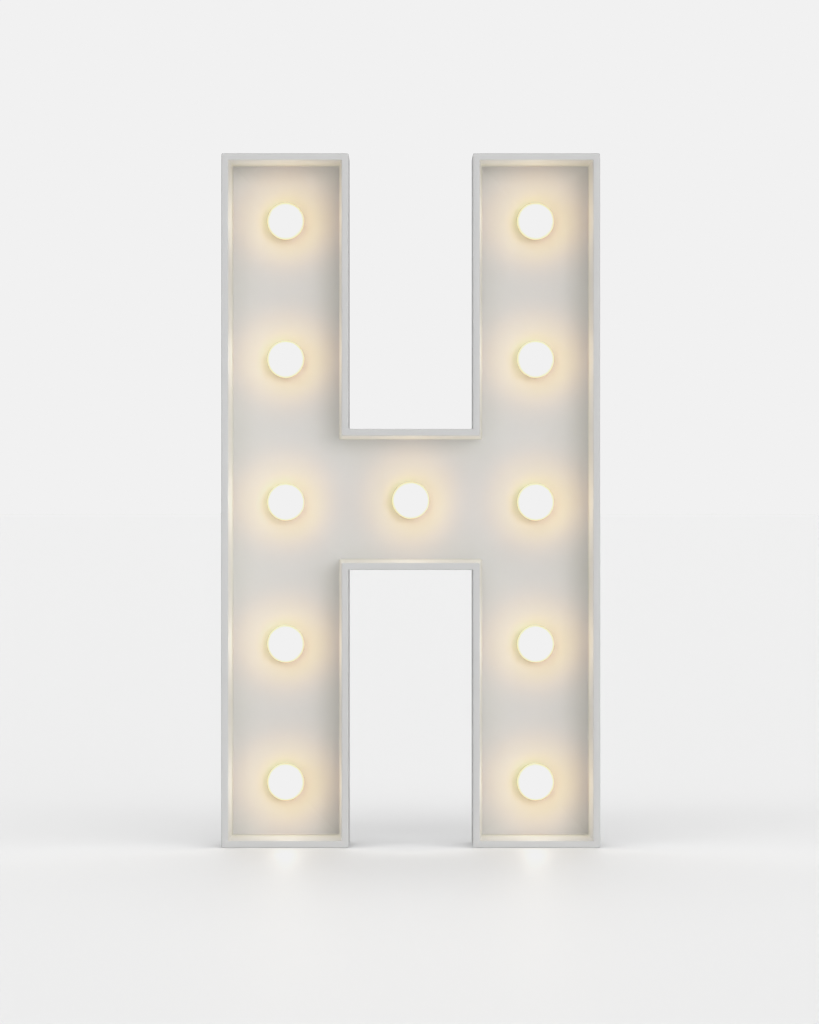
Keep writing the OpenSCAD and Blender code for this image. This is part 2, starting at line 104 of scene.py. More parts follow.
def circle(x, z, r, n):
    return [Vector((x + r * math.cos(2 * math.pi * i / n), z + r * math.sin(2 * math.pi * i / n))) for i in range(n)]


def add_loop(bm, points, y):
    return [bm.verts.new((p.x, y, p.y)) for p in points]


def bridge(bm, a, b):
    n = len(a)
    for i in range(n):
        bm.faces.new((a[i], a[(i + 1) % n], b[(i + 1) % n], b[i]))


def fill_with_holes(bm, outer, holes, y):
    """A flat face between one outer loop and the hole loops, all of them vertices in bm; y is not used, the face lies
    where those vertices lie.
    """
    loops = [outer] + holes
    verts = [v for loop in loops for v in loop]
    pts = [Vector((v.co.x, v.co.z)) for v in verts]
    edges, k = [], 0
    for loop in loops:
        m = len(loop)
        edges += [(k + i, k + (i + 1) % m) for i in range(m)]
        k += m
    co, _, tris, orig, _, _ = geometry.delaunay_2d_cdt(pts, edges, [], 0, 1e-7)
    back = {}
    for i, o in enumerate(orig):
        if o:
            back[i] = verts[o[0]]
    poly = [Vector((v.co.x, v.co.z)) for v in outer]
    rings = [[Vector((v.co.x, v.co.z)) for v in h] for h in holes]

    def inside(p, ring):
        hit = False
        for i in range(len(ring)):
            a, b = ring[i - 1], ring[i]
            if (a.y > p.y) != (b.y > p.y) and p.x < (b.x - a.x) * (p.y - a.y) / (b.y - a.y) + a.x:
                hit = not hit
        return hit

    for t in tris:
        m = (co[t[0]] + co[t[1]] + co[t[2]]) / 3
        if inside(m, poly) and not any(inside(m, r) for r in rings):
            try:
                bm.faces.new([back[i] for i in t])
            except ValueError:
                pass


def arc(cx, cy, r, a0, a1, n):
    """Points (inset or radius, y) on an arc, angles in degrees."""
    return [
        (cx + r * math.cos(math.radians(a0 + (a1 - a0) * i / n)), cy + r * math.sin(math.radians(a0 + (a1 - a0) * i / n)))
        for i in range(n + 1)
    ]


def lathe_y(bm, x, z, profile, n=64, close_start=False, close_end=False):
    """Turns a profile of (radius, y) about the line through (x, z) along Y."""
    rings = []
    for r, y in profile:
        if r < 1e-6:
            rings.append([bm.verts.new((x, y, z))])
        else:
            rings.append(add_loop(bm, circle(x, z, r, n), y))
    for a, b in zip(rings, rings[1:]):
        if len(a) == 1 and len(b) == 1:
            continue
        if len(a) == 1:
            for i in range(n):
                bm.faces.new((a[0], b[(i + 1) % n], b[i]))
        elif len(b) == 1:
            for i in range(n):
                bm.faces.new((a[i], a[(i + 1) % n], b[0]))
        else:
            bridge(bm, a, b)
    if close_start and len(rings[0]) > 2:
        bm.faces.new(rings[0])
    if close_end and len(rings[-1]) > 2:
        bm.faces.new(rings[-1])
    return rings


# ---------------------------------------------------------------------------
# Front shell: walls, rims with rounded edges, drafted tray, panel, rear cavity
# ---------------------------------------------------------------------------
def make_shell():
    bm = bmesh.new()
    rings = []

    def ring(inset, y, convex, concave):
        rings.append(add_loop(bm, h_ring(inset, convex, concave), y))

    # rear edge, rounded, and the outside
    for a, y in arc(0.25, Y_BACK - 0.25, 0.25, 90, 180, 3):
        ring(a, y, max(0.6 - a, 0.05), 0.3 + a)
    ring(0, Y_BACK - 8, 0.6, 0.3)
    ring(0, 0, 0.6, 0.3)
    # front rim: outer rounding, flat, inner rounding
    for a, y in arc(0.35, Y_RIM + 0.35, 0.35, 180, 270, 6):
        ring(a, y, max(0.6 - a, 0.1), 0.3 + a * 0.4)
    for a, y in arc(WALL - 0.22, Y_RIM + 0.22, 0.22, 270, 360, 5):
        ring(a, y, 0.35, 0.5)
    # drafted inside of the tray down to a small fillet at the panel
    depth = Y_PANEL - Y_RIM
    f = 0.35
    for t in (0.25, 0.5, 0.75):
        ring(WALL + DRAFT * t, Y_RIM + depth * t, 0.35, 0.5)
    for k in range(5):
        t = k / 4 * math.pi / 2
        y = Y_PANEL - f + f * math.sin(t)
        ring(WALL + DRAFT * (1 - f / depth) + f * (1 - math.cos(t)), y, 0.35, 0.5)
    for a, b in zip(rings, rings[1:]):
        bridge(bm, a, b)
    front = rings[-1]
    first = rings[0]
    # rebate for the cover and the rear cavity
    rings = [first]
    ring(REBATE - 0.12, Y_BACK, 0.2, 0.9)
    ring(REBATE, Y_BACK - 0.12, 0.2, 1.0)
    ring(REBATE, Y_COVER, 0.2, 1.0)
    ring(WALL, Y_COVER, 0.2, 1.1)
    ring(WALL, (Y_COVER + Y_WEB) / 2, 0.2, 1.1)
    ring(WALL, Y_WEB, 0.2, 1.1)
    for a, b in zip(rings, rings[1:]):
        bridge(bm, b, a)
    back = rings[-1]
    # globe holes with the collars that locate the boards, and the screw bosses
    n = 48
    front_holes, back_holes = [], []
    for _, x, z in SPOTS:
        prof = [(3.7, Y_PANEL), (3.55, Y_PANEL + 0.15), (3.55, Y_WEB), (5.1, Y_WEB), (5.1, Y_WEB + 0.7),
                (5.2, Y_WEB + 0.8), (5.9, Y_WEB + 0.8), (6.0, Y_WEB + 0.7), (6.0, Y_WEB)]
        loops = lathe_y(bm, x, z, prof, n)
        front_holes.append(loops[0])
        back_holes.append(loops[-1])
    for x, z in BOSSES:
        prof = [(0, Y_COVER - 9), (1.02, Y_COVER - 9), (1.02, Y_COVER - 0.1), (1.12, Y_COVER), (2.85, Y_COVER),
                (3.0, Y_COVER - 0.15), (3.0, Y_WEB)]
        loops = lathe_y(bm, x, z, prof, n)
        back_holes.append(loops[-1])
    fill_with_holes(bm, front, front_holes, Y_PANEL)
    fill_with_holes(bm, back, back_holes, Y_WEB)
    return finish_mesh(bm, "shell", "letter", ["front_shell"], sharp=28)


shell = make_shell()


# ---------------------------------------------------------------------------
# Globes: a blown ball that runs into its neck, a thin flange against the panel
# ---------------------------------------------------------------------------
def globe_profile():
    neck, r = 3.5, GLOBE_R
    # concave fillet between ball and neck
    fr = 1.0
    d = r + fr
    cx = neck + fr
    cy = Y_GLOBE + math.sqrt(d * d - cx * cx)
    touch = math.atan2(cy - Y_GLOBE, cx)
    ball = []
    m = 40
    for i in range(m + 1):
        t = -math.pi / 2 + (touch + math.pi / 2) * i / m
        ball.append((max(r * math.cos(t), 0.0), Y_GLOBE + r * math.sin(t)))
    ball[0] = (0.0, Y_GLOBE - r)
    a0 = math.degrees(math.atan2(Y_GLOBE - cy, -cx))
    if a0 > 0:
        a0 -= 360
    fil = arc(cx, cy, fr, a0, -180, 6)[1:]
    flange = [(neck, Y_PANEL - 1.15)] + arc(neck + 0.3, Y_PANEL - 1.1, 0.3, 180, 90, 3)[1:]
    lip = arc(4.7 - 0.22, Y_PANEL - 0.8 + 0.22, 0.22, -90, 0, 4)
    out = ball + fil + [(neck, (cy + Y_PANEL - 1.1) / 2)] + flange + lip
    out += [(4.7, Y_PANEL - 0.02), (3.6, Y_PANEL - 0.02), (neck, Y_PANEL), (neck, Y_WEB - 0.15), (neck - 0.1, Y_WEB - 0.05), (3.1, Y_WEB - 0.05)]
    # inside
    ri = GLOBE_R - 0.8
    inner = math.asin(math.sqrt(ri * ri - 9.0) / ri)
    out += [(3.0, Y_WEB - 0.15), (3.0, Y_GLOBE + math.sqrt(ri * ri - 9.0) + 0.1)]
    for i in range(25):
        t = inner + (-math.pi / 2 - inner) * i / 24
        out.append((max(ri * math.cos(t), 0.0), Y_GLOBE + ri * math.sin(t)))
    out[-1] = (0.0, Y_GLOBE - ri)
    return out


def make_globes():
    profile = globe_profile()
    obs = []
    for key, x, z in SPOTS:
        bm = bmesh.new()
        lathe_y(bm, 0, 0, [(r, y - Y_GLOBE) for r, y in profile], 96)
        bmesh.ops.remove_doubles(bm, verts=bm.verts, dist=1e-5)
        ob = finish_mesh(bm, "globe." + key, "letter", ["globe_" + key], sharp=40)
        ob.location = (x * MM, Y_GLOBE * MM, z * MM)
        obs.append(ob)
    return obs


globes = make_globes()


# ---------------------------------------------------------------------------
# The two cells: wrapped can with rolled shoulders, end plate and nub
# ---------------------------------------------------------------------------
def make_cell(name, node, z, s):
    prof = [(0.0, 0.25), (3.3, 0.25), (3.6, 0.05), (4.2, 0.0), (4.45, 0.1), (4.6, 0.3), (4.75, 0.22), (4.95, 0.28), (5.12, 0.45), (5.2, 0.7),
            (5.2, 10.0), (5.2, 21.0), (5.2, 32.0), (5.2, 42.3), (5.17, 42.6), (5.02, 42.85), (4.75, 42.98), (4.4, 43.0), (4.3, 42.9),
            (4.25, 42.6), (4.1, 42.45), (3.7, 42.45), (3.5, 42.6), (3.3, 43.1), (3.0, 43.3), (2.2, 43.3), (2.0, 43.4), (1.9, 43.6),
            (1.9, 44.25), (1.82, 44.42), (1.65, 44.5), (0.0, 44.5)]
    bm = bmesh.new()
    n = 64
    tip = s * 24.3
    cy = 10.05 + 5.2
    rings = []
    for r, t in prof:
        x = tip - s * (44.5 - t)
        if r < 1e-6:
            rings.append([bm.verts.new((x, cy, z))])
        else:
            rings.append([bm.verts.new((x, cy + r * math.cos(2 * math.pi * i / n), z + r * math.sin(2 * math.pi * i / n))) for i in range(n)])
    for a, b in zip(rings, rings[1:]):
        if len(a) == 1:
            for i in range(n):
                bm.faces.new((a[0], b[(i + 1) % n], b[i]))
        elif len(b) == 1:
            for i in range(n):
                bm.faces.new((a[i], a[(i + 1) % n], b[0]))
        else:
            bridge(bm, a, b)
    return finish_mesh(bm, name, "letter", [node], sharp=50)


cells = [make_cell("cell.upper", "cell_upper", 115.5, 1), make_cell("cell.lower", "cell_lower", 104.5, -1)]


# ---------------------------------------------------------------------------
# Tubes along a path: springs
# ---------------------------------------------------------------------------
def add_tube(bm, path, r, sides=10, ref=(0, 0, 1)):
    """A round tube along a path, its ends closed, its rings carried along without twisting."""
    n = len(path)
    tang = [(path[min(i + 1, n - 1)] - path[max(i - 1, 0)]).normalized() for i in range(n)]
    u = tang[0].cross(Vector(ref)).normalized()
    rings = []
    for i in range(n):
        u = (u - tang[i] * u.dot(tang[i])).normalized()
        v = tang[i].cross(u)
        rings.append([bm.verts.new(path[i] + (u * math.cos(2 * math.pi * k / sides) + v * math.sin(2 * math.pi * k / sides)) * r)
                      for k in range(sides)])
    for a, b in zip(rings, rings[1:]):
        bridge(bm, a, b)
    bm.faces.new(rings[0])
    bm.faces.new(list(reversed(rings[-1])))


def make_springs():
    bm = bmesh.new()
    cy = 15.25
    for x0, x1, z, s in ((-24.15, -20.6, 115.5, 1), (24.15, 20.6, 104.5, -1)):
        pts = []
        m = 150
        for k in range(m + 1):
            t = k / m
            # the first and the last turn lie nearly flat, as wound springs do
            u = t - 0.035 * math.sin(4 * math.pi * t)
            a = 2 * math.pi * 2.75 * t
            q = 3.6 - 1.6 * t
            pts.append(Vector((x0 + (x1 - x0) * u, cy + q * math.cos(a), z + s * q * math.sin(a))))
        add_tube(bm, pts, 0.29, 10, (1, 0, 0))
    return finish_mesh(bm, "cell.springs", "letter", ["contact_springs"], sharp=60)


springs = make_springs()


# ---------------------------------------------------------------------------
# CAD nodes that stay: their edges are eased with modifiers, the meshes are left alone
# ---------------------------------------------------------------------------
def soften(node, width, segments=2, angle=35):
    ob = NODES[node]
    for p in ob.data.polygons:
        p.use_smooth = True
    m = ob.modifiers.new("weld", "WELD")
    m.merge_threshold = 2e-6
    m = ob.modifiers.new("flat", "DECIMATE")
    m.decimate_type = "DISSOLVE"
    m.angle_limit = math.radians(0.6)
    m = ob.modifiers.new("ease", "BEVEL")
    m.width = width * MM
    m.segments = segments
    m.limit_method = "ANGLE"
    m.angle_limit = math.radians(angle)
    m.use_clamp_overlap = True
    m.miter_outer = "MITER_ARC"
    m.harden_normals = False
    m = ob.modifiers.new("normals", "WEIGHTED_NORMAL")
    m.keep_sharp = True
    return ob


soften("back_cover", 0.2)
soften("battery_door", 0.2)
soften("switch_knob", 0.12)
soften("switch_body", 0.1)
soften("contact_plus", 0.06)
soften("contact_minus", 0.06)
soften("contact_bridge", 0.06)
soften("door_screw", 0.05)
soften("cover_screws", 0.05)
soften("switch_screws", 0.05)
soften("switch_terminals", 0.05)


# ---------------------------------------------------------------------------
# Materials
# ---------------------------------------------------------------------------
def new_material(name):
    m = bpy.data.materials.new(name)
    m.use_nodes = True
    nt = m.node_tree
    nt.nodes.clear()
    out = nt.nodes.new("ShaderNodeOutputMaterial")
    bsdf = nt.nodes.new("ShaderNodeBsdfPrincipled")
    nt.links.new(bsdf.outputs[0], out.inputs[0])
    co = nt.nodes.new("ShaderNodeTexCoord")
    return m, nt, bsdf, co.outputs["Object"]


def noise(nt, co, scale, detail=3.0, rough=0.5, stretch=None):
    if stretch:
        mp = nt.nodes.new("ShaderNodeMapping")
        mp.inputs["Scale"].default_value = stretch
        nt.links.new(co, mp.inputs["Vector"])
        co = mp.outputs[0]
    n = nt.nodes.new("ShaderNodeTexNoise")
    n.inputs["Scale"].default_value = scale
    n.inputs["Detail"].default_value = detail
    n.inputs["Roughness"].default_value = rough
    nt.links.new(co, n.inputs["Vector"])
    return n.outputs["Fac"]


def ramp(nt, fac, stops):
    r = nt.nodes.new("ShaderNodeValToRGB")
    e = r.color_ramp.elements
    while len(e) < len(stops):
        e.new(0.5)
    for el, (p, c) in zip(e, stops):
        el.position = p
        el.color = (c[0], c[1], c[2], 1) if hasattr(c, "__len__") else (c, c, c, 1)
    nt.links.new(fac, r.inputs[0])
    return r.outputs["Color"]


def map_range(nt, fac, a, b, c, d):
    m = nt.nodes.new("ShaderNodeMapRange")
    for k, v in zip(("From Min", "From Max", "To Min", "To Max"), (a, b, c, d)):
        m.inputs[k].default_value = v
    nt.links.new(fac, m.inputs["Value"])
    return m.outputs[0]


def math_node(nt, op, a, b=None, clamp=False):
    m = nt.nodes.new("ShaderNodeMath")
    m.operation = op
    m.use_clamp = clamp
    for k, v in enumerate((a, b)):
        if v is None:
            continue
        if isinstance(v, (int, float)):
            m.inputs[k].default_value = v
        else:
            nt.links.new(v, m.inputs[k])
    return m.outputs[0]


def bump(nt, height, strength, distance, normal=None):
    b = nt.nodes.new("ShaderNodeBump")
    b.inputs["Strength"].default_value = strength
    b.inputs["Distance"].default_value = distance
    nt.links.new(height, b.inputs["Height"])
    if normal is not None:
        nt.links.new(normal, b.inputs["Normal"])
    return b.outputs[0]


def moulded(name, tone, rough, grain=2600.0, grain_depth=0.000012, swing=0.012, painted_shade_y=None):
    """Injection-moulded plastic: a fine spark-eroded grain, faint flow marks, slow changes in tone and gloss; when
    asked, painted shade darkens the rim's front land.
    """
    m, nt, bsdf, co = new_material(name)
    slow = noise(nt, co, 26.0, 3.0, 0.55)
    lo = tuple(t * (1 - swing) for t in tone)
    hi = tuple(min(t * (1 + swing), 1) for t in tone)
    colour = ramp(nt, slow, [(0.3, lo), (0.7, hi)])
    if painted_shade_y is not None:
        # painted shade: the rim's front land, up to 0.4 mm behind the given y, is darkened to 0.94 against the
        # recessed faces, though it is the same moulding
        place = nt.nodes.new("ShaderNodeSeparateXYZ")
        nt.links.new(co, place.inputs[0])
        rim_shade_scale = nt.nodes.new("ShaderNodeVectorMath")
        rim_shade_scale.operation = "SCALE"
        nt.links.new(colour, rim_shade_scale.inputs[0])
        nt.links.new(map_range(nt, place.outputs["Y"], painted_shade_y, painted_shade_y + 0.0004, 0.94, 1.0), rim_shade_scale.inputs["Scale"])
        colour = rim_shade_scale.outputs[0]
    nt.links.new(colour, bsdf.inputs["Base Color"])
    mid = noise(nt, co, 420.0, 4.0, 0.6)
    nt.links.new(map_range(nt, mid, 0.3, 0.7, rough - 0.05, rough + 0.05), bsdf.inputs["Roughness"])
    fine = noise(nt, co, grain, 2.0, 0.6)
    flow = noise(nt, co, 60.0, 2.0, 0.5, (1.0, 1.0, 0.15))
    n1 = bump(nt, flow, 0.12, 0.0002)
    n2 = bump(nt, fine, 0.55, grain_depth, n1)
    nt.links.new(n2, bsdf.inputs["Normal"])
    bsdf.inputs["IOR"].default_value = 1.5
    bsdf.inputs["Specular IOR Level"].default_value = 0.4
    return m


SHELL_TONE = (0.61, 0.61, 0.607)
# the shell's rim land in front of y = -22.4 mm gets painted shade
MAT_SHELL = moulded("moulded_shell", SHELL_TONE, 0.5, painted_shade_y=-0.0224)
MAT_COVER = moulded("moulded_cover", (0.60, 0.60, 0.595), 0.56, grain=1900.0, grain_depth=0.00002)
MAT_KNOB = moulded("moulded_knob", (0.028, 0.028, 0.03), 0.42, grain=3000.0, swing=0.08)


def frosted_globe():
    """Frosted plastic lit from inside: hottest in front of the lamp's nose, warmer and dimmer towards the neck."""
    m, nt, bsdf, co = new_material("globe_frost")
    sep = nt.nodes.new("ShaderNodeSeparateXYZ")
    nt.links.new(co, sep.inputs[0])
    haze = noise(nt, co, 900.0, 3.0, 0.6)
    depth = math_node(nt, "ADD", map_range(nt, sep.outputs["Y"], -0.0059, 0.0105, 0.0, 1.0), map_range(nt, haze, 0.0, 1.0, -0.012, 0.012))
    glow = ramp(nt, depth, [
        (0.0, (1.0, 0.985, 0.94)), (0.10, (0.95, 0.92, 0.85)), (0.15, (0.75, 0.71, 0.62)), (0.175, (0.62, 0.58, 0.48)),
        (0.2117, (0.55, 0.51, 0.38)), (0.265, (0.50, 0.41, 0.24)), (0.314, (0.46, 0.34, 0.13)), (0.40, (0.42, 0.30, 0.08)),
        (0.55, (0.40, 0.24, 0.05)), (1.0, (0.30, 0.16, 0.03)),
    ])
    nt.links.new(glow, bsdf.inputs["Emission Color"])
    bsdf.inputs["Emission Strength"].default_value = 1.15
    nt.links.new(ramp(nt, haze, [(0.35, (0.53, 0.51, 0.46)), (0.65, (0.58, 0.56, 0.51))]), bsdf.inputs["Base Color"])
    nt.links.new(map_range(nt, haze, 0.3, 0.7, 0.42, 0.55), bsdf.inputs["Roughness"])
    fine = noise(nt, co, 5200.0, 2.0, 0.5)
    nt.links.new(bump(nt, fine, 0.4, 0.000008), bsdf.inputs["Normal"])
    return m


MAT_GLOBE = frosted_globe()


def lamp_epoxy():
    m, nt, bsdf, co = new_material("warm_epoxy")
    n = noise(nt, co, 700.0, 2.0)
    nt.links.new(ramp(nt, n, [(0.3, (0.93, 0.84, 0.55)), (0.7, (0.97, 0.90, 0.66))]), bsdf.inputs["Base Color"])
    nt.links.new(map_range(nt, n, 0, 1, 0.06, 0.14), bsdf.inputs["Roughness"])
    bsdf.inputs["IOR"].default_value = 1.54
    bsdf.inputs["Emission Color"].default_value = (1.0, 0.83, 0.5, 1)
    bsdf.inputs["Emission Strength"].default_value = 1.5
    return m


def board_mask():
    m, nt, bsdf, co = new_material("white_board")
    n = noise(nt, co, 500.0, 4.0, 0.6)
    nt.links.new(ramp(nt, n, [(0.3, (0.80, 0.80, 0.75)), (0.7, (0.86, 0.86, 0.82))]), bsdf.inputs["Base Color"])
    nt.links.new(map_range(nt, n, 0, 1, 0.3, 0.5), bsdf.inputs["Roughness"])
    nt.links.new(bump(nt, noise(nt, co, 2500.0), 0.3, 0.00002), bsdf.inputs["Normal"])
    return m


def vinyl(name, tone):
    m, nt, bsdf, co = new_material(name)
    n = noise(nt, co, 600.0, 3.0)
    nt.links.new(ramp(nt, n, [(0.3, tuple(t * 0.85 for t in tone)), (0.7, tuple(min(t * 1.15, 1) for t in tone))]), bsdf.inputs["Base Color"])
    nt.links.new(map_range(nt, n, 0, 1, 0.3, 0.48), bsdf.inputs["Roughness"])
    nt.links.new(bump(nt, noise(nt, co, 3500.0), 0.25, 0.00001), bsdf.inputs["Normal"])
    return m


def plated(name, tone, rough, brushed=None, scratch=1400.0):
    """Plated or rolled metal: fine rolling lines, patches of haze."""
    m, nt, bsdf, co = new_material(name)
    haze = noise(nt, co, 350.0, 4.0, 0.6)
    nt.links.new(ramp(nt, haze, [(0.3, tuple(t * 0.92 for t in tone)), (0.7, tuple(min(t * 1.06, 1) for t in tone))]), bsdf.inputs["Base Color"])
    lines = noise(nt, co, scratch, 3.0, 0.65, brushed or (1, 1, 1))
    both = math_node(nt, "ADD", map_range(nt, haze, 0.2, 0.8, -0.06, 0.08), map_range(nt, lines, 0.2, 0.8, rough - 0.06, rough + 0.08))
    nt.links.new(both, bsdf.inputs["Roughness"])
    nt.links.new(bump(nt, lines, 0.3, 0.000006), bsdf.inputs["Normal"])
    bsdf.inputs["Metallic"].default_value = 1.0
    return m


def cell_wrap():
    """Foil sleeve in plain colours with bare metal ends; the bands follow the cell's own length."""
    m, nt, bsdf, co = new_material("cell_foil")
    sep = nt.nodes.new("ShaderNodeSeparateXYZ")
    nt.links.new(co, sep.inputs[0])
    # distance from the cell's axis, for the bare ends
    up = nt.nodes.new("ShaderNodeMath")
    up.operation = "GREATER_THAN"
    nt.links.new(sep.outputs["Z"], up.inputs[0])
    up.inputs[1].default_value = 0.110
    axis_z = map_range(nt, up.outputs[0], 0, 1, 0.1045, 0.1155)
    dz = math_node(nt, "SUBTRACT", sep.outputs["Z"], axis_z)
    dy = math_node(nt, "SUBTRACT", sep.outputs["Y"], 0.01525)
    rr = math_node(nt, "SQRT", math_node(nt, "ADD", math_node(nt, "MULTIPLY", dz, dz), math_node(nt, "MULTIPLY", dy, dy)))
    # position along the cell, 0 at its flat end and 1 at its nub
    along_up = map_range(nt, sep.outputs["X"], -0.0202, 0.0243, 0.0, 1.0)
    along_dn = map_range(nt, sep.outputs["X"], 0.0202, -0.0243, 0.0, 1.0)
    mix = nt.nodes.new("ShaderNodeMix")
    nt.links.new(up.outputs[0], mix.inputs["Factor"])
    nt.links.new(along_dn, mix.inputs[2])
    nt.links.new(along_up, mix.inputs[3])
    along = mix.outputs[0]
    speck = noise(nt, co, 1500.0, 3.0, 0.6)
    band = ramp(nt, along, [(0.0, (0.05, 0.105, 0.085)), (0.7, (0.05, 0.105, 0.085)), (0.705, (0.62, 0.60, 0.55)), (0.72, (0.62, 0.60, 0.55)),
                            (0.725, (0.46, 0.27, 0.10)), (1.0, (0.46, 0.27, 0.10))])
    metal = ramp(nt, speck, [(0.3, (0.62, 0.62, 0.60)), (0.7, (0.74, 0.74, 0.72))])
    bare = map_range(nt, rr, 0.00452, 0.00462, 1.0, 0.0)
    col = nt.nodes.new("ShaderNodeMix")
    col.data_type = "RGBA"
    nt.links.new(bare, col.inputs["Factor"])
    nt.links.new(band, col.inputs[6])
    nt.links.new(metal, col.inputs[7])
    nt.links.new(col.outputs[2], bsdf.inputs["Base Color"])
    nt.links.new(map_range(nt, bare, 0, 1, 0.55, 1.0), bsdf.inputs["Metallic"])
    nt.links.new(map_range(nt, speck, 0.2, 0.8, 0.24, 0.36), bsdf.inputs["Roughness"])
    nt.links.new(bump(nt, speck, 0.2, 0.00001), bsdf.inputs["Normal"])
    return m


MAT_EPOXY = lamp_epoxy()
MAT_BOARD = board_mask()
MAT_RED = vinyl("vinyl_red", (0.55, 0.03, 0.025))
MAT_BLACK = vinyl("vinyl_black", (0.02, 0.02, 0.02))
MAT_RESISTOR = vinyl("resistor_lacquer", (0.60, 0.45, 0.25))
MAT_PLATE = plated("nickel_plate", (0.72, 0.70, 0.66), 0.26, (0.2, 1, 1))
MAT_CAN = plated("tinned_sheet", (0.60, 0.60, 0.60), 0.36, (1, 1, 0.2))
MAT_BRASS = plated("tinned_brass", (0.72, 0.60, 0.34), 0.3)
MAT_SCREW = plated("zinc_screw", (0.62, 0.63, 0.65), 0.3)
MAT_CELL = cell_wrap()


def give(ob, mat):
    ob.data.materials.clear()
    ob.data.materials.append(mat)


give(shell, MAT_SHELL)
for g in globes:
    give(g, MAT_GLOBE)
for c in cells:
    give(c, MAT_CELL)
give(springs, MAT_PLATE)
BY_NODE = {
    "back_cover": MAT_COVER, "battery_door": MAT_COVER, "door_screw": MAT_SCREW, "cover_screws": MAT_SCREW,
    "red_jumpers": MAT_RED, "black_jumpers": MAT_BLACK, "battery_lead_red": MAT_RED, "battery_lead_black": MAT_BLACK,
    "switch_lead": MAT_RED, "series_resistor": MAT_RESISTOR, "contact_plus": MAT_PLATE, "contact_minus": MAT_PLATE,
    "contact_bridge": MAT_PLATE, "switch_body": MAT_CAN, "switch_terminals": MAT_BRASS, "switch_knob": MAT_KNOB, "switch_screws": MAT_SCREW,
}
for key, _, _ in SPOTS:
    BY_NODE["led_" + key] = MAT_EPOXY
    BY_NODE["board_" + key] = MAT_BOARD
for node, mat in BY_NODE.items():
    give(NODES[node], mat)


# ---------------------------------------------------------------------------
# Floor, light and camera
# ---------------------------------------------------------------------------
def make_floor():
    bm = bmesh.new()
    s = 45.0
    k = 10
    grid = [[bm.verts.new((-s + 2 * s * i / k, -s + 2 * s * j / k, 0)) for i in range(k + 1)] for j in range(k + 1)]
    for j in range(k):
        for i in range(k):
            bm.faces.new((grid[j][i], grid[j][i + 1], grid[j + 1][i + 1], grid[j + 1][i]))
    me = bpy.data.meshes.new("floor")
    bm.to_mesh(me)
    bm.free()
    ob = bpy.data.objects.new("floor", me)
    bpy.context.scene.collection.objects.link(ob)
    m, nt, bsdf, co = new_material("studio_floor")
    bsdf.inputs["Base Color"].default_value = (0.6, 0.6, 0.6, 1)
    bsdf.inputs["Roughness"].default_value = 0.5
    bsdf.inputs["IOR"].default_value = 1.45
    bsdf.inputs["Specular IOR Level"].default_value = 0.2
    ob.data.materials.append(m)
    return ob


floor = make_floor()


def vec_math(nt, op, a, b=None):
    m = nt.nodes.new("ShaderNodeVectorMath")
    m.operation = op
    nt.links.new(a, m.inputs[0])
    if b is not None:
        m.inputs[1].default_value = b
    return m


# soft boxes on the sphere of the studio: azimuth (0 in front, 90 on the right), elevation, half angle, strength
LOBES = {
    "b0_86": (0, 86, 15, 3.338),
    "fm12_18": (-12, 18, 12, 1.940),
    "fm12_32": (-12, 32, 12, 1.452),
    "fm12_6": (-12, 6, 12, 2.419),
    "fm25_18": (-25, 18, 12, 0.188),
    "f0_6": (0, 6, 12, 0.414),
    "f12_18": (12, 18, 12, 1.382),
    "f12_32": (12, 32, 12, 0.571),
    "f12_6": (12, 6, 12, 11.865),
    "f25_32": (25, 32, 12, 0.296),
    "f25_6": (25, 6, 12, 2.091),
    "nm15_50": (-15, 50, 17, 0.749),
    "nm45_48": (-45, 48, 17, 1.006),
    "n15_50": (15, 50, 17, 1.131),
    "n45_28": (45, 28, 17, 0.044),
    "n45_48": (45, 48, 17, 1.415),
    "n45_8": (45, 8, 17, 0.401),
    "t0_74": (0, 74, 22, 0.137),
    "wm75_15": (-75, 15, 34, 0.416),
    "wm75_50": (-75, 50, 34, 0.864),
    "w180_15": (180, 15, 34, 0.966),
    "w180_50": (180, 50, 34, 2.180),
    "w75_15": (75, 15, 34, 1.332),
    "w75_50": (75, 50, 34, 0.634),
}


def aim(az, el):
    a, e = math.radians(az), math.radians(el)
    return Vector((math.sin(a) * math.cos(e), -math.cos(a) * math.cos(e), math.sin(e)))


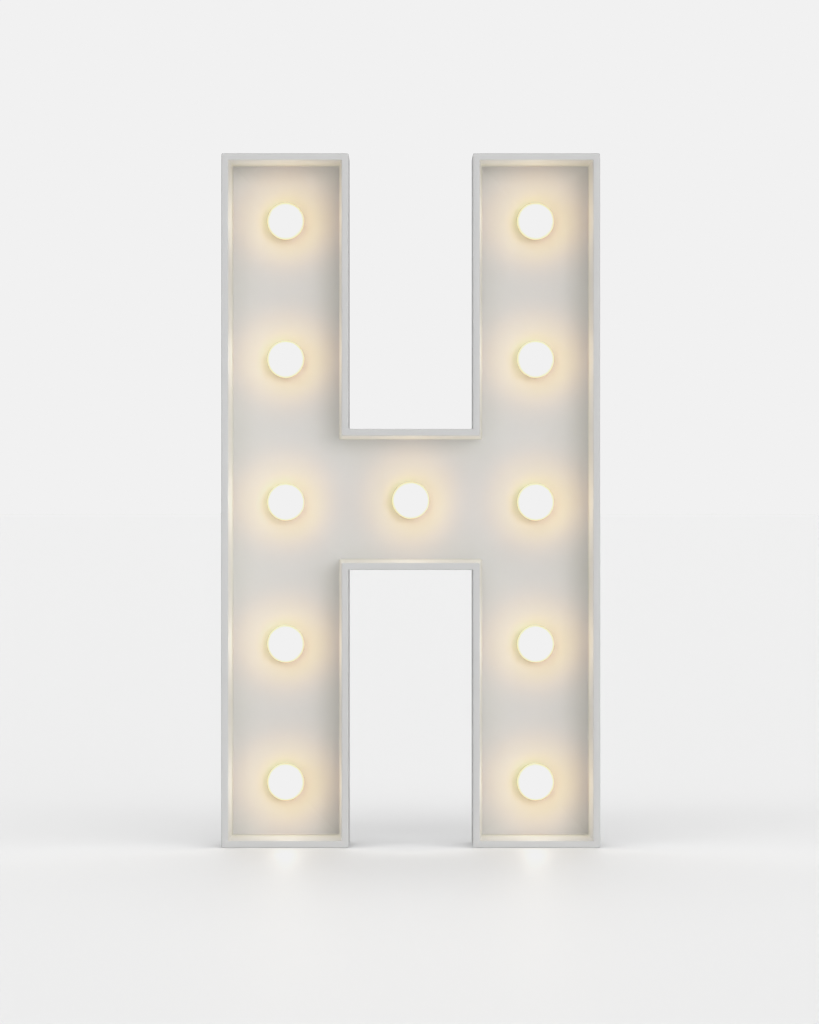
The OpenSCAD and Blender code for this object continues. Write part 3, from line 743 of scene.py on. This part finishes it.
def make_world():
    w = bpy.data.worlds.new("studio")
    bpy.context.scene.world = w
    w.use_nodes = True
    nt = w.node_tree
    nt.nodes.clear()
    out = nt.nodes.new("ShaderNodeOutputWorld")
    co = nt.nodes.new("ShaderNodeTexCoord").outputs["Generated"]
    total = None
    for name, (az, el, half, amp) in LOBES.items():
        dot = vec_math(nt, "DOT_PRODUCT", co, aim(az, el)).outputs["Value"]
        m = nt.nodes.new("ShaderNodeMapRange")
        m.name = "amp_" + name
        m.interpolation_type = "SMOOTHSTEP"
        m.inputs["From Min"].default_value = math.cos(math.radians(half))
        m.inputs["From Max"].default_value = math.cos(math.radians(half * 0.2))
        m.inputs["To Max"].default_value = amp
        nt.links.new(dot, m.inputs["Value"])
        total = m.outputs[0] if total is None else math_node(nt, "ADD", total, m.outputs[0])
    light = nt.nodes.new("ShaderNodeBackground")
    light.name = "light"
    light.inputs["Color"].default_value = (1, 1, 1, 1)
    nt.links.new(total, light.inputs["Strength"])
    # what the camera sees behind the letter is the bare white backdrop
    seen = nt.nodes.new("ShaderNodeBackground")
    seen.name = "seen"
    seen.inputs["Color"].default_value = (1, 1, 1, 1)
    seen.inputs["Strength"].default_value = 1.05
    path = nt.nodes.new("ShaderNodeLightPath")
    mix = nt.nodes.new("ShaderNodeMixShader")
    nt.links.new(path.outputs["Is Camera Ray"], mix.inputs[0])
    nt.links.new(light.outputs[0], mix.inputs[1])
    nt.links.new(seen.outputs[0], mix.inputs[2])
    nt.links.new(mix.outputs[0], out.inputs[0])
    w.cycles.sampling_method = "MANUAL"
    w.cycles.sample_map_resolution = 1024
    return w


make_world()


# broad lights that only wash the floor, so that the backdrop stays white and the letter's shadow stays close to it:
# azimuth, elevation, strength
WASH = ((0, 32, 1.162), (-25, 32, 0.791), (25, 32, 0.608), (180, 32, 0.092), (-155, 32, 0.175), (155, 32, 0.130))


def make_wash():
    only = bpy.data.collections.new("washed")
    only.objects.link(floor)
    for az, el, power in WASH:
        name = "wash.%d" % (az % 360)
        sun = bpy.data.lights.new(name, "SUN")
        sun.angle = math.radians(24)
        sun.energy = power
        ob = bpy.data.objects.new(name, sun)
        ob.rotation_mode = "QUATERNION"
        ob.rotation_quaternion = aim(az, el).to_track_quat("Z", "Y")
        bpy.context.scene.collection.objects.link(ob)
        ob.light_linking.receiver_collection = only


make_wash()


# the lamps' own light, which leaves through the frosted globes: warm where it comes back past the neck onto
# the panel, close in, and whiter where it leaves towards the sides and the front
GLOW_WATT = 0.02
# light of one globe by how far backwards it goes (-1 to the front, 1 to the panel behind it)
GLOW_FROM = (-1.0, -0.2, 0.05, 0.2, 0.3, 0.38, 0.46, 0.54, 0.62, 0.69, 0.75, 1.0)
GLOW_WIDE = [(0.49, 0.465, 0.42), (0.49, 0.465, 0.42), (0.43, 0.41, 0.245), (0.13, 0.14, 0.10), (0.09, 0.06, 0.08), (0.23, 0.11, 0.06), (0.28, 0.15, 0.04)]
GLOW_AWAY = GLOW_WIDE + [(0.13, 0.11, 0.06), (0.20, 0.11, 0.04), (0.16, 0.12, 0.01), (0.03, 0.07, 0.0), (0.03, 0.07, 0.0)]
GLOW_TOWARD = GLOW_WIDE + [(0.23, 0.14, 0.0), (0.12, 0.09, 0.0), (0.15, 0.06, 0.0), (0.03, 0.0, 0.0), (0.03, 0.0, 0.0)]


def lamp_light(light):
    light.use_nodes = True
    nt = light.node_tree
    em = [n for n in nt.nodes if n.type == "EMISSION"][0]
    way = nt.nodes.new("ShaderNodeTexCoord").outputs["Normal"]
    sep = nt.nodes.new("ShaderNodeSeparateXYZ")
    nt.links.new(way, sep.inputs[0])
    back = sep.outputs["Y"]
    place = math_node(nt, "ADD", math_node(nt, "MULTIPLY", back, 0.5), 0.5)
    # 0 for what goes up to the left round the neck, 1 for what goes down to the right
    side = nt.nodes.new("ShaderNodeVectorMath")
    side.operation = "DOT_PRODUCT"
    side.inputs[1].default_value = (0.7071, 0, -0.7071)
    nt.links.new(way, side.inputs[0])
    square = math_node(nt, "MULTIPLY", back, back)
    wide = math_node(nt, "SQRT", math_node(nt, "SUBTRACT", 1.0001, square))
    part = math_node(nt, "DIVIDE", side.outputs["Value"], wide)
    part = math_node(nt, "ADD", math_node(nt, "MULTIPLY", part, 0.5), 0.5, clamp=True)
    tones = []
    for name, colours in (("away", GLOW_AWAY), ("toward", GLOW_TOWARD)):
        r = nt.nodes.new("ShaderNodeValToRGB")
        r.name = name
        nt.links.new(place, r.inputs["Fac"])
        e = r.color_ramp.elements
        while len(e) > 1:
            e.remove(e[-1])
        for i, (f, c) in enumerate(zip(GLOW_FROM, colours)):
            stop = e[0] if i == 0 else e.new((f + 1) / 2)
            stop.position = (f + 1) / 2
            stop.color = (*c, 1)
        tones.append(r.outputs["Color"])
    mix = nt.nodes.new("ShaderNodeMix")
    mix.data_type = "RGBA"
    nt.links.new(part, mix.inputs["Factor"])
    nt.links.new(tones[0], mix.inputs[6])
    nt.links.new(tones[1], mix.inputs[7])
    # what leaves up and to the right onto the walls is a little weaker and warmer
    rise = nt.nodes.new("ShaderNodeVectorMath")
    rise.operation = "DOT_PRODUCT"
    rise.inputs[1].default_value = (0.7071, 0, 0.7071)
    nt.links.new(way, rise.inputs[0])
    up = math_node(nt, "MULTIPLY", rise.outputs["Value"], 1.6, clamp=True)
    open_side = map_range(nt, back, 0.05, 0.3, 1.0, 0.0)
    tint = nt.nodes.new("ShaderNodeMix")
    tint.data_type = "RGBA"
    tint.blend_type = "MULTIPLY"
    nt.links.new(math_node(nt, "MULTIPLY", up, open_side), tint.inputs["Factor"])
    nt.links.new(mix.outputs[2], tint.inputs[6])
    tint.inputs[7].default_value = (0.88, 0.78, 0.64, 1.0)
    nt.links.new(tint.outputs[2], em.inputs["Color"])
    em.inputs["Strength"].default_value = 1.0


def make_glow():
    blockers = bpy.data.collections.new("glow_blockers")
    for ob in globes + [NODES["led_" + k] for k, _, _ in SPOTS]:
        blockers.objects.link(ob)
    for c in blockers.collection_objects:
        c.light_linking.link_state = "EXCLUDE"
    for key, x, z in SPOTS:
        light = bpy.data.lights.new("glow." + key, "POINT")
        light.energy = GLOW_WATT
        light.color = (1, 1, 1)
        light.shadow_soft_size = 0.0015
        lamp_light(light)
        ob = bpy.data.objects.new("glow." + key, light)
        ob.location = (x * MM, Y_GLOBE * MM, z * MM)
        bpy.context.scene.collection.objects.link(ob)
        ob.light_linking.blocker_collection = blockers
        ob.visible_camera = False


make_glow()


def make_camera():
    cam = bpy.data.cameras.new("camera")
    cam.sensor_width = 36.0
    distance = 2.483
    span = 0.3165 * 1024 * MM
    cam.lens = 36.0 * distance / span
    cam.clip_end = 100
    height = 0.1117
    middle = (848.0 - 512.0) * 0.3165 * MM
    cam.shift_y = (middle - height) / span
    ob = bpy.data.objects.new("camera", cam)
    ob.location = (-0.00038, Y_RIM * MM - distance, height)
    ob.rotation_euler = (math.pi / 2, 0, 0)
    bpy.context.scene.collection.objects.link(ob)
    bpy.context.scene.camera = ob


make_camera()

# plain display, with white held just under full so that the backdrop reads as the pale grey of a print
WHITE = 0.8796
view = bpy.context.scene.view_settings
view.view_transform = "Standard"
view.look = "None"
view.use_curve_mapping = True
curves = view.curve_mapping
curves.use_clip = False
curves.extend = "HORIZONTAL"
line = curves.curves[3]
line.points[0].location = (0.0, 0.0)
line.points[1].location = (1.0, WHITE)
for p in line.points:
    p.handle_type = "VECTOR"
curves.update()
